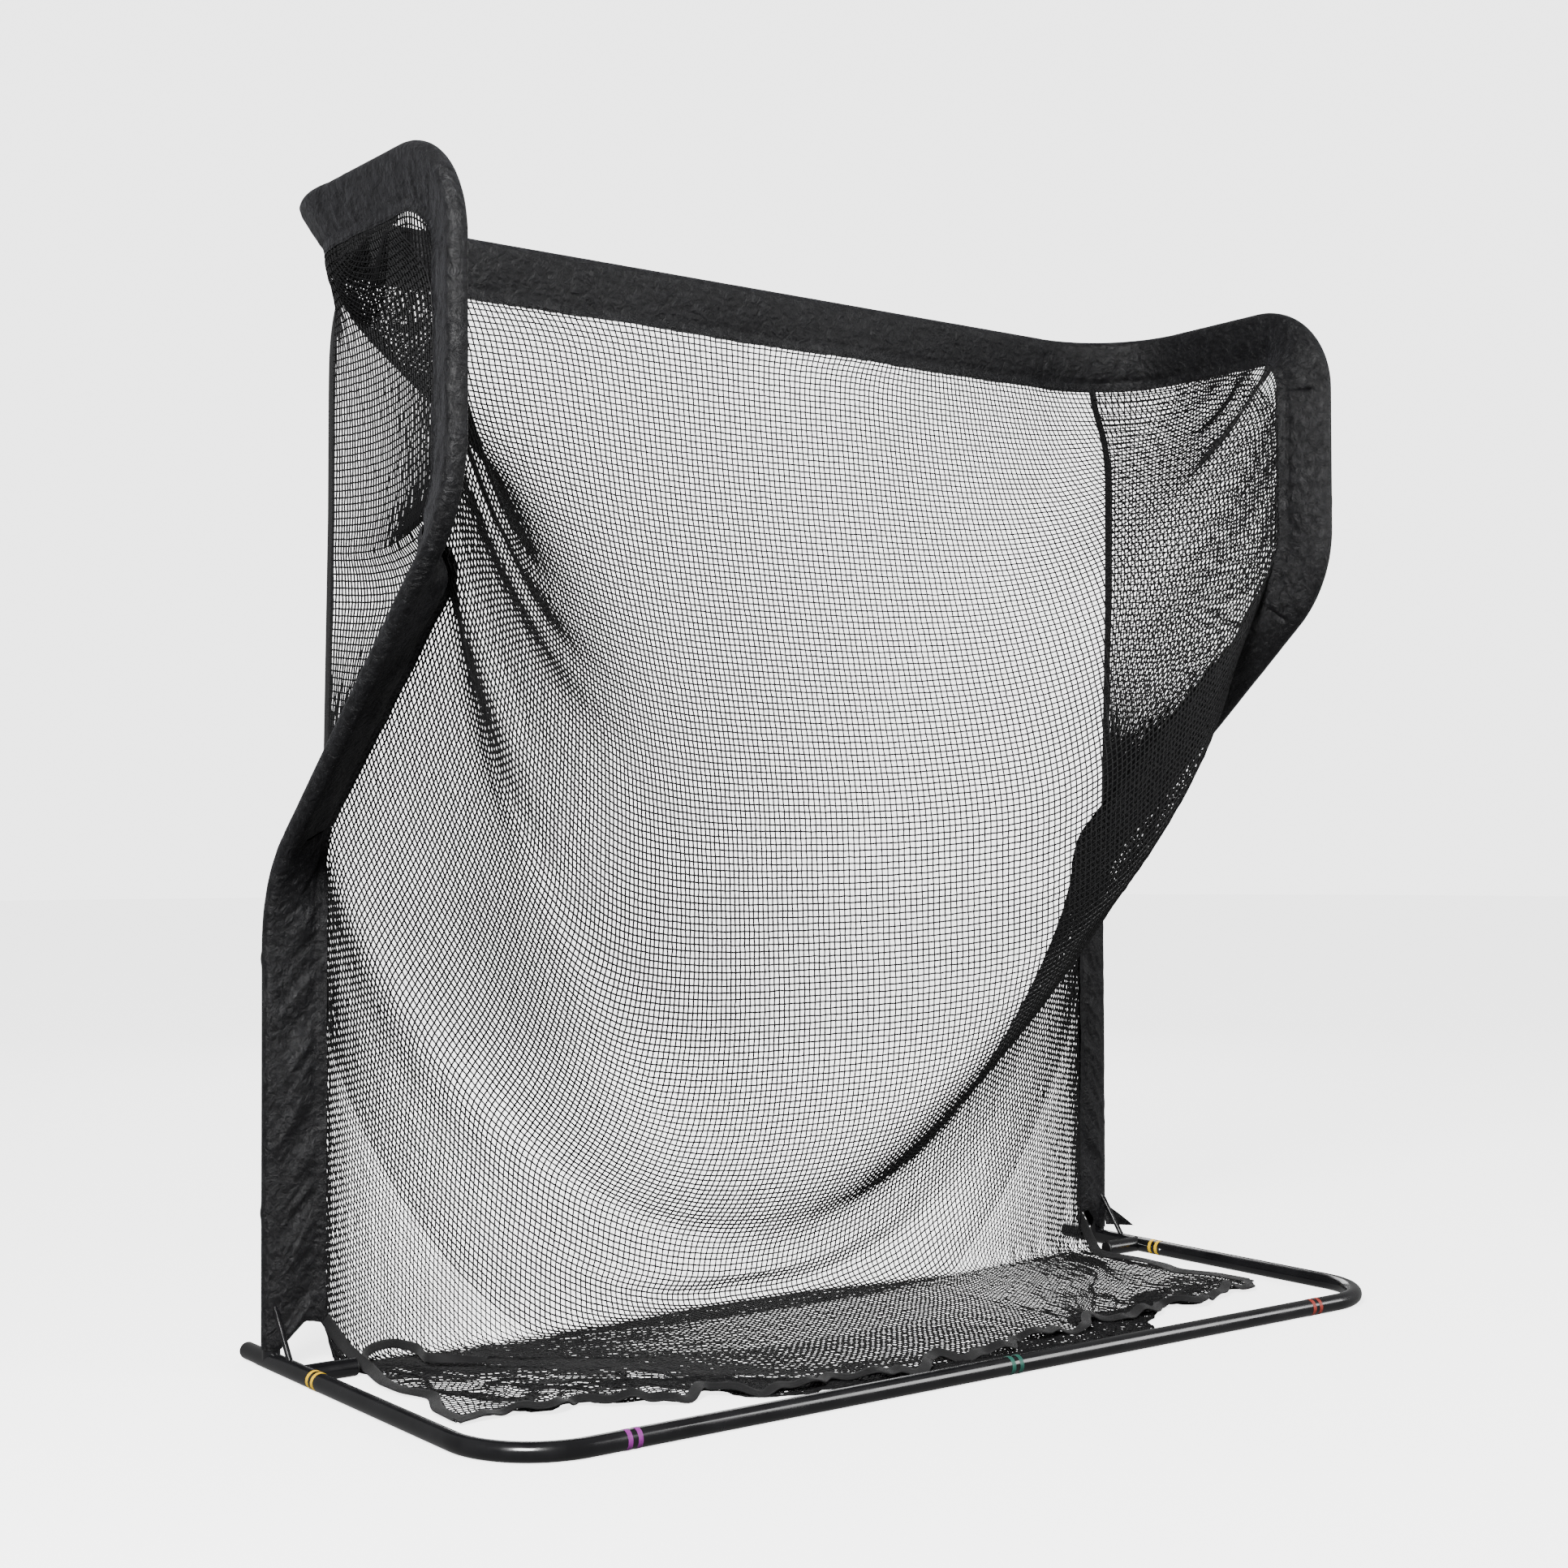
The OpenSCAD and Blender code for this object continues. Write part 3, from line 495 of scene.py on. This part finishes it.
# The edge on the floor bows forward in the middle and is ruffled, but for its two ends.
hem_points = np.array([[-1.105, -0.19, 0], [-0.93, -0.19, 0], [-0.73, -0.28, 0], [-0.48, -0.37, 0],
                       [-0.21, -0.41, 0], [0.05, -0.385, 0], [0.31, -0.33, 0], [0.65, -0.3, 0],
                       [0.99, -0.27, 0], [1.105, -0.19, 0]])
hem_line = relax(resample(hem_points, 700)[0], 900)
u_hem = np.linspace(0, 1, 700)
calm = (np.sin(0.5 * np.pi * np.clip(u_hem / 0.08, 0, 1))
        * np.sin(0.5 * np.pi * np.clip((1 - u_hem) / 0.08, 0, 1)))
hem_line[:, 1] += 0.02 * calm * (np.sin(2 * np.pi * (u_hem * 9 + 0.15 * np.sin(7 * u_hem)))
                                 + 0.6 * np.sin(2 * np.pi * (u_hem * 17 + 0.3)))
hem_line[:, 2] = 0.005 + 0.006 * calm * (1 + np.sin(2 * np.pi * (u_hem * 13 + 0.2)))
hem_edge = resample(hem_line, ACROSS + 1)[0]


def finer(p, axis):
    """Twice the points along an axis, on a cubic through the ones that are there."""
    p = np.moveaxis(p, axis, 0)
    q = np.empty((2 * len(p) - 1,) + p.shape[1:])
    q[::2] = p
    e = np.concatenate([2 * p[:1] - p[1:2], p, 2 * p[-1:] - p[-2:-1]])
    q[1::2] = (-e[:-3] + 9 * e[1:-2] + 9 * e[2:-1] - e[3:]) / 16
    return np.moveaxis(q, 0, axis)


def hang(p, c, steps, inner, dt):
    """Lets the net settle. One cell spans c meshes; twine only resists being pulled longer."""
    air, grip, lying = 0.985, 0.35, 0.0035  # speed kept in air and on the floor, height when it lies there
    h, old = MESH * c, p.copy()
    ni, nj = p.shape[0] - 1, p.shape[1] - 1
    top, left, right, low = top_edge[::c], edge[-1][::c], edge[1][::c], hem_edge[::c]
    free = np.ones((ni + 1, nj + 1))
    free[:, 0] = free[0] = free[-1] = free[:, -1] = 0
    i, j = np.arange(ni + 1)[:, None], np.arange(nj + 1)[None, :]

    def pull(a, b, wa, wb, longest, shortest, give):
        """Brings pairs of points back within reach; wa and wb are 0 where a point is sewn."""
        d = b - a
        n = np.sqrt((d * d).sum(-1)) + 1e-9
        e = np.where(n > longest, n - longest, np.where(n < shortest, (n - shortest) * give, 0)) / n
        w = np.maximum(wa + wb, 1e-9)
        d *= e[..., None]
        a += d * (wa / w)[..., None]
        b -= d * (wb / w)[..., None]

    def pairs(gap, longest, shortest, give):
        """Pulls on every two points gap cells apart, both ways through the net."""
        for axis in (0, 1):
            q, f = (p, free) if axis == 0 else (p.transpose(1, 0, 2), free.T)
            for start in range(2 * gap):
                a, b = q[start::2 * gap], q[start + gap::2 * gap]
                n = min(len(a), len(b))
                if n:
                    pull(a[:n], b[:n], f[start::2 * gap][:n], f[start + gap::2 * gap][:n],
                         longest, shortest, give)

    def within(anchor, reach):
        """Keeps each point no further from where its strand is sewn than the strand is long."""
        d = p - anchor
        n = np.sqrt((d * d).sum(-1)) + 1e-9
        p[:] = anchor + d * np.minimum(1, (reach * 1.002 + 1e-9) / n)[..., None]

    for step in range(steps):
        fall = (p - old) * air
        old = p.copy()
        p += fall
        p[..., 2] -= 9.81 * dt * dt
        for _ in range(inner):
            pairs(1, h, 0.72 * h, 0.15)
            pairs(2, 2 * h, 1.6 * h, 0.08)
            p[:, 0], p[0], p[-1], p[:, -1] = top, left, right, low
            down = p[..., 2] < lying
            p[..., 2] = np.maximum(p[..., 2], lying)
        slid = old[..., :2] + (p[..., :2] - old[..., :2]) * grip
        p[..., :2] = np.where(down[..., None], slid, p[..., :2])
        if step % 2 == 0:
            within(top[:, None], j * h)
            within(left[None], i * h)
            within(right[None], (ni - i) * h)
            p[:, 0], p[0], p[-1], p[:, -1] = top, left, right, low
    return p


def first_guess(c):
    """A smooth curtain between the sewn edges, for the net to settle from."""
    ni, nj = ACROSS // c, DOWN // c
    t, run = np.linspace(-1, 1, ni + 1)[:, None], np.linspace(0, DOWN * MESH, nj + 1)[None, :]
    top, left, low = top_edge[::c], edge[-1][::c], hem_edge[::c]
    w = 1 - np.abs(t) ** 2.2
    past = np.maximum(run - TOP_HEM, 0) / (DOWN * MESH - TOP_HEM)
    y = (0.37 - 0.01 * run) * (1 - past) + past * low[:, None, 1]
    near = np.exp(-run / 0.25)
    p = np.zeros((ni + 1, nj + 1, 3))
    p[..., 0] = -t * left[None, :, 0] * (1 - near) + top[:, None, 0] * near
    p[..., 1] = w * y + (1 - w) * left[None, :, 1]
    p[..., 2] = w * np.maximum(TOP_HEM - run, 0) + (1 - w) * left[None, :, 2] + 0.004
    p[..., 2] += 0.002 * np.sin(37 * t + 11 * run)
    return p


# It settles as a coarse net of every fourth crossing, then a finer one, and is then smoothed out.
net = hang(first_guess(4), 4, steps=500, inner=6, dt=0.01)
net = finer(finer(net, 0), 1)
net = hang(net, 2, steps=350, inner=8, dt=0.006)
net = finer(finer(net, 0), 1)
calm_rows = knots([0, 75, 115], [0.5, 0.5, 0.0], np.arange(net.shape[1], dtype=float))[1:-1, None]
for _ in range(24):  # the fine gathers near the top spread out into the mesh
    net[1:-1, 1:-1] += calm_rows * (0.25 * (net[:-2, 1:-1] + net[2:, 1:-1] + net[1:-1, :-2]
                                            + net[1:-1, 2:]) - net[1:-1, 1:-1])
rng = np.random.default_rng(4)  # no two meshes are knitted quite alike
net[1:-1, 1:-1] += rng.normal(0, 0.0004, net[1:-1, 1:-1].shape)
net[..., 2] = np.maximum(net[..., 2], 0.002)


def twine(name, p, mat, radius, first_row=True):
    """Square netting through a grid of crossings, as three-sided strands of that radius."""
    di, dj = np.gradient(p, axis=0), np.gradient(p, axis=1)
    up = np.cross(di, dj)
    up /= np.linalg.norm(up, axis=-1)[..., None] + 1e-12
    points, faces, base = [], [], 0
    for axis in (0, 1):
        q, n, d = (p, up, di) if axis == 0 else (p.transpose(1, 0, 2), up.transpose(1, 0, 2),
                                                 dj.transpose(1, 0, 2))
        if axis == 0 and not first_row:
            q, n, d = q[:, 1:], n[:, 1:], d[:, 1:]
        side = np.cross(d, n)
        side /= np.linalg.norm(side, axis=-1)[..., None] + 1e-12
        corners = (0.0, 2.0944, 4.1888)  # 120 degrees apart round the strand
        ring = np.stack([q + radius * (math.cos(a) * n + math.sin(a) * side) for a in corners], 2)
        m, k = q.shape[:2]
        index = base + np.arange(m * k * 3).reshape(m, k, 3)
        for c in range(3):
            e = (c + 1) % 3
            faces.append(np.stack([index[:-1, :, c], index[:-1, :, e], index[1:, :, e],
                                   index[1:, :, c]], -1).reshape(-1, 4))
        points.append(ring.reshape(-1, 3))
        base += m * k * 3
    piece = mesh(name, np.concatenate(points), np.concatenate(faces), mat)
    return piece


# Black polyethylene twine, knotless, from twisted filaments: matt, with a lay about 1.4 mm long.
cordage, shader = material("black_knotless_twine", "#0a0a0b", Roughness=0.6, IOR=1.5,
                           Specular_IOR_Level=0.2)
at = node(cordage, "TexCoord", {})["Object"]
lay = node(cordage, "TexNoise", {"Scale": 700.0, "Detail": 2.0, "Vector": at})["Fac"]
node(cordage, "Bump", {"Distance": 0.0002, "Height": lay}, to=shader.inputs["Normal"])
node(cordage, "ValToRGB", {"Fac": lay, "stops": [(0.35, "#070708"), (0.65, "#101011")]},
     to=shader.inputs["Base Color"])

UPPER_ROWS = 84
cuts = [0, UPPER_ROWS, UPPER_ROWS + (DOWN - UPPER_ROWS) // 2, DOWN]
for k, part in enumerate(("upper", "lower", "apron")):
    thickness = STRAND * (FLOOR_STRAND if part == "apron" else 1)
    piece = twine("twine_" + part, net[:, cuts[k]:cuts[k + 1] + 1], cordage, thickness, first_row=k == 0)
    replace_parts(piece, "net_" + part)

# ---------------------------------------------------------------------------------------------
# Webbing: black ribbed polypropylene. A folded tape binds the net's free edge on the floor, one
# runs from each foot of the sleeves down to the floor and forward to it, and a tie lies loose.
# ---------------------------------------------------------------------------------------------
# Black polypropylene webbing, woven: ribs about 1.8 mm apart and a dull, slightly fuzzy face.
webbing, shader = material("black_ribbed_webbing", "#0b0b0c", Roughness=0.62, IOR=1.5,
                           Specular_IOR_Level=0.25, Sheen_Weight=0.06)
along = node(webbing, "TexCoord", {})["UV"]
ribs = node(webbing, "TexWave", {"Scale": 170.0, "Distortion": 0.6, "Detail": 1.0, "Vector": along})["Fac"]
fuzz = node(webbing, "TexNoise", {"Scale": 420.0, "Detail": 3.0, "Vector": along})["Fac"]
ribbed = node(webbing, "Bump", {"Distance": 0.0004, "Height": ribs})["Normal"]
node(webbing, "Bump", {"Distance": 0.0002, "Strength": 0.7, "Height": fuzz, "Normal": ribbed},
     to=shader.inputs["Normal"])
node(webbing, "ValToRGB", {"Fac": fuzz, "stops": [(0.35, "#080809"), (0.65, "#131314")]},
     to=shader.inputs["Base Color"])


def band(name, line, wide, thick, offset, standing, face=None):
    """A tape of that width swept along a line; standing tips it from flat to on edge, 0 to 1."""
    line = resample(line, max(12, int(lengths(line)[-1] / 0.006)))[0]
    t = np.gradient(line, axis=0)
    t /= np.linalg.norm(t, axis=1)[:, None]
    flat = np.cross([0, 0, 1], t) if face is None else face - t * (t @ np.array(face))[:, None]
    flat /= np.linalg.norm(flat, axis=1)[:, None]
    tip = np.interp(np.linspace(0, 1, len(line)), np.linspace(0, 1, len(standing)), standing)[:, None]
    over = flat * np.cos(tip * math.pi / 2) + np.cross(t, flat) * np.sin(tip * math.pi / 2)
    up = np.cross(t, over)
    # Its section is a flat strip with a thicker woven edge on both sides.
    x = np.array([-0.5, -0.46, -0.2, 0.2, 0.46, 0.5, 0.5, 0.46, 0.2, -0.2, -0.46, -0.5]) * wide + offset
    z = np.array([0.28, 0.5, 0.42, 0.42, 0.5, 0.28, -0.28, -0.5, -0.42, -0.42, -0.5, -0.28]) * thick
    p = line[:, None] + over[:, None] * x[None, :, None] + up[:, None] * z[None, :, None]
    p[..., 2] = np.maximum(p[..., 2], 0.0004)
    run = lengths(line)
    uv = np.stack([np.broadcast_to(run[:, None], p.shape[:2]), np.broadcast_to(x, p.shape[:2])], -1)
    obj = mesh(name, p.reshape(-1, 3), grid_faces(len(line), len(x), wrap=True), webbing,
               uv.reshape(-1, 2))
    return obj


hem = hem_line + [0, 0, 0.0035]
hem[:, 2] += 0.004 * calm * (1 + np.sin(2 * np.pi * (u_hem * 31 + 0.4)))
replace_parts(band("hem_band", hem, 0.023, 0.0036, -0.004, [0.1, 0.35, 0.15, 0.4, 0.1, 0.3, 0.1]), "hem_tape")
for side, hand in ((-1, "left"), (1, "right")):
    down = tape_line * [1 if side < 0 else -1, 1, 1] + [0, 0, 0.0025]
    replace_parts(band("side_band_" + hand, down, 0.025, 0.0026, -0.006 * side,
                     [0.75, 0.45, 0.2, 0.1, 0.25, 0.1, 0.1]), "side_tape_" + hand)
tie_points = np.array([[-1.055, 0.292, 0.016], [-1.034, 0.335, 0.03], [-1.0, 0.36, 0.034],
                       [-0.955, 0.362, 0.036], [-0.925, 0.31, 0.03], [-0.938, 0.25, 0.022],
                       [-0.895, 0.205, 0.022], [-0.84, 0.163, 0.02]])
tie = relax(resample(tie_points, 90)[0], 12)
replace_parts(band("tie_band", tie, 0.02, 0.0018, 0.0, [0.2, 0.8, 0.95, 0.8, 0.9, 0.5, 0.2]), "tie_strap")

# ---------------------------------------------------------------------------------------------
# Wing nets: the same twine, gathered onto the top hems, from the front tube's hem back to a
# hanging cord a little in front of the rear corner. The foot of the right one reaches the leaning
# hem, and the left one's rear corner hangs free above it.
# ---------------------------------------------------------------------------------------------
WING_ACROSS, WING_DOWN = 44, 74  # meshes
WING_TOP, CORD_X = 2.297, 1.128
CORD_FOOT = {-1: 1.245, 1: 1.13}  # height of the cord's lower end, left and right

for side, hand in ((-1, "left"), (1, "right")):
    u = np.linspace(0, 1, WING_ACROSS + 1)[:, None]  # from the front hem to the cord
    v = np.linspace(0, 1, WING_DOWN + 1)
    w = 1 - u
    cord_y = np.interp(v, [0, 0.5, 1], [0.300, 0.305, 0.325])
    cord_z = WING_TOP - (WING_TOP - CORD_FOOT[side]) * v
    s_front = np.linspace(AT[3] + 0.05, AT[7] - 0.12, 500)
    front = side_path(s_front, np.full_like(s_front, HEM), side)
    front = front[np.argsort(front[:, 2])]
    front_z = np.maximum(cord_z + 0.012, 1.19)
    front_y = np.interp(front_z, front[:, 2], front[:, 1])
    front_x = np.interp(front_z, front[:, 2], front[:, 0])
    fade = np.exp(-v / 0.14)
    front_y = front_y * (1 - fade) + fade * -0.262
    front_x = front_x * (1 - fade) + fade * side * HALF

    belly = np.sin(np.pi * u) * (1 - fade * 0.8)
    p = np.zeros((WING_ACROSS + 1, WING_DOWN + 1, 3))
    p[..., 0] = w * front_x + (1 - w) * side * CORD_X
    p[..., 1] = w * front_y + (1 - w) * cord_y
    p[..., 2] = w * front_z + (1 - w) * cord_z - 0.02 * belly
    p[..., 0] -= side * 0.02 * belly * np.sin(np.pi * v)
    top_s = np.interp(p[:, 0, 1], [-0.3, 0.12, 0.3], [AT[3], AT[2], AT[2] - 0.24])
    on_top = side_path(top_s, np.full_like(top_s, HEM), side)
    p += (on_top - p[:, 0])[:, None] * np.exp(-(v / 0.1) ** 2)[None, :, None]
    bound = relax(resample(p[-1], 120)[0], 6)
    p += rng.normal(0, 0.0004, p.shape)
    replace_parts(twine("wing_twine_" + hand, p, cordage, STRAND), "wing_net_" + hand)

    # The rear edge is bound with tape round a 7 mm cord that hangs from the crossbar's hem.
    band("wing_binding_" + hand, bound, 0.017, 0.0084, 0.0, [0, 0],
         face=(0.0, 1.0, 0.0))
    route, cord_length = resample(bound, 33)
    curve = bpy.data.curves.new("wing_rope_" + hand, "CURVE")
    curve.dimensions, curve.bevel_depth, curve.bevel_resolution = "3D", 0.0035, 3
    spline = curve.splines.new("POLY")
    spline.points.add(len(route) - 1)
    for point, place in zip(spline.points, route):
        point.co = (*place, 1)
    curve.materials.append(cordage)
    rope = bpy.data.objects.new("wing_rope_" + hand, curve)
    bpy.context.scene.collection.objects.link(rope)
    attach(rope, "frame")
    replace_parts(rope, "wing_cord_" + hand)

# ---------------------------------------------------------------------------------------------
# Floor, light and camera, which aren't part of the object. The pale floor and the white paper
# dome round it glow by themselves, and the object's black surfaces don't reflect them.
# ---------------------------------------------------------------------------------------------


def stage_piece(name, points, faces, material_name, colour, roughness, glow):
    """A plain glowing surface that is seen but throws no light on the object."""
    data = bpy.data.meshes.new(name)
    data.from_pydata(points, [], faces)
    surface, shader = material(material_name, colour, Roughness=roughness, Emission_Strength=glow)
    shader.inputs["Emission Color"].default_value = srgb("#ffffff")
    data.materials.append(surface)
    obj = bpy.data.objects.new(name, data)
    bpy.context.scene.collection.objects.link(obj)
    obj.visible_glossy = obj.visible_diffuse = False
    return obj


FLOOR = 40  # half its width
DOME_R, DOME_SIDES, DOME_WALL, DOME_TOP = 36, 48, 40.0, 55.0
stage_piece("floor", [(-FLOOR, -FLOOR, -0.0006), (FLOOR, -FLOOR, -0.0006), (FLOOR, FLOOR, -0.0006),
                      (-FLOOR, FLOOR, -0.0006)], [(0, 1, 2, 3)], "pale_studio_floor", "#f6f6f5", 0.9, 3.0)
ring = [(math.cos(k * 2 * math.pi / DOME_SIDES) * DOME_R, math.sin(k * 2 * math.pi / DOME_SIDES) * DOME_R)
        for k in range(DOME_SIDES)]
around = [(k, (k + 1) % DOME_SIDES) for k in range(DOME_SIDES)]
dome = stage_piece("backdrop", [(x, y, -1.0) for x, y in ring] + [(x, y, DOME_WALL) for x, y in ring]
                   + [(0, 0, DOME_TOP)],
                   [(a, b, DOME_SIDES + b, DOME_SIDES + a) for a, b in around]
                   + [(DOME_SIDES + a, DOME_SIDES + b, 2 * DOME_SIDES) for a, b in around],
                   "white_backdrop_paper", "#ffffff", 1.0, 3.25)
dome.visible_shadow = False

world = bpy.data.worlds.new("studio")
bpy.context.scene.world = world
world.use_nodes = True
world.node_tree.nodes["Background"].inputs["Color"].default_value = srgb("#fbfbfb")
world.node_tree.nodes["Background"].inputs["Strength"].default_value = 0.28


def softbox(name, at, aim, size, watts):
    """A square soft light, turned to face a point."""
    lamp = bpy.data.lights.new(name, "AREA")
    lamp.shape, lamp.size, lamp.energy = "SQUARE", size, watts
    obj = bpy.data.objects.new(name, lamp)
    bpy.context.scene.collection.objects.link(obj)
    obj.location = at
    obj.rotation_euler = (obj.location - Vector(aim)).to_track_quat("Z", "Y").to_euler()


softbox("key", (-4.5, -3.5, 4.2), (0, 0, 1.2), 2.0, 1050)
softbox("fill", (4.5, -4.5, 3.0), (0, 0, 1.0), 3.0, 300)
softbox("back", (3.5, 5.5, 3.4), (0, 0, 1.2), 3.0, 150)

EYE = (-3.176, -4.0025, 1.117)
HEADING, TILT, ROLL = math.radians(-36.78), math.radians(90 + 1.24), math.radians(-0.161)
lens = bpy.data.cameras.new("camera")
lens.sensor_width, lens.lens = 36, 51.84
camera = bpy.data.objects.new("camera", lens)
bpy.context.scene.collection.objects.link(camera)
camera.matrix_world = (Matrix.Translation(EYE) @ Matrix.Rotation(HEADING, 4, "Z")
                       @ Matrix.Rotation(TILT, 4, "X") @ Matrix.Rotation(ROLL, 4, "Z"))
bpy.context.scene.camera = camera
